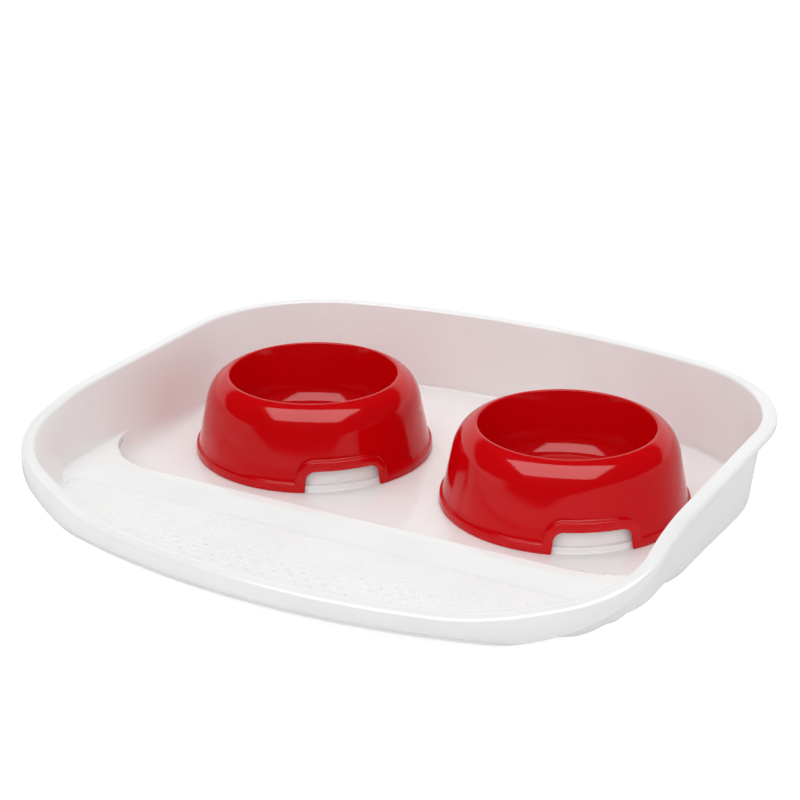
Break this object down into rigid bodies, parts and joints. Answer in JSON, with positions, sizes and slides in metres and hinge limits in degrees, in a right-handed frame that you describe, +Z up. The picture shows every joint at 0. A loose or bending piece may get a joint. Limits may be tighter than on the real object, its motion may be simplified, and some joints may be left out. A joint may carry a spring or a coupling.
{
  "type": "double pet bowl",
  "caption": "Low moulded feeding tray with a raised back and a bowed front, and round bowls that lift off hollow seats by finger notches.",
  "frame": {"origin": "on the ground under the middle of the tray, at the underside of the rubber feet", "axes": "+Z up, +X along the tray towards the right bowl, +Y towards the high back wall; the bowed low front faces -Y"},
  "size_m": [0.506, 0.446, 0.075],
  "materials": {
    "tray_plastic": "pearly white moulded plastic",
    "bowl_plastic": "high gloss red moulded plastic",
    "foot_rubber": "matt grey rubber"
  },
  "bodies": {
    "tray": {"tray": "tray_plastic", "foot_rear_left": "foot_rubber", "foot_rear_right": "foot_rubber", "foot_front_left": "foot_rubber", "foot_front_right": "foot_rubber"},
    "left_bowl": {"left_bowl": "bowl_plastic"},
    "right_bowl": {"right_bowl": "bowl_plastic"}
  },
  "joints": [
    {"name": "left_bowl_lift", "type": "slide", "parent": "tray", "child": "left_bowl", "axis": [0, 0, 1], "range_m": [0, 0.15]},
    {"name": "right_bowl_lift", "type": "slide", "parent": "tray", "child": "right_bowl", "axis": [0, 0, 1], "range_m": [0, 0.15]}
  ]
}
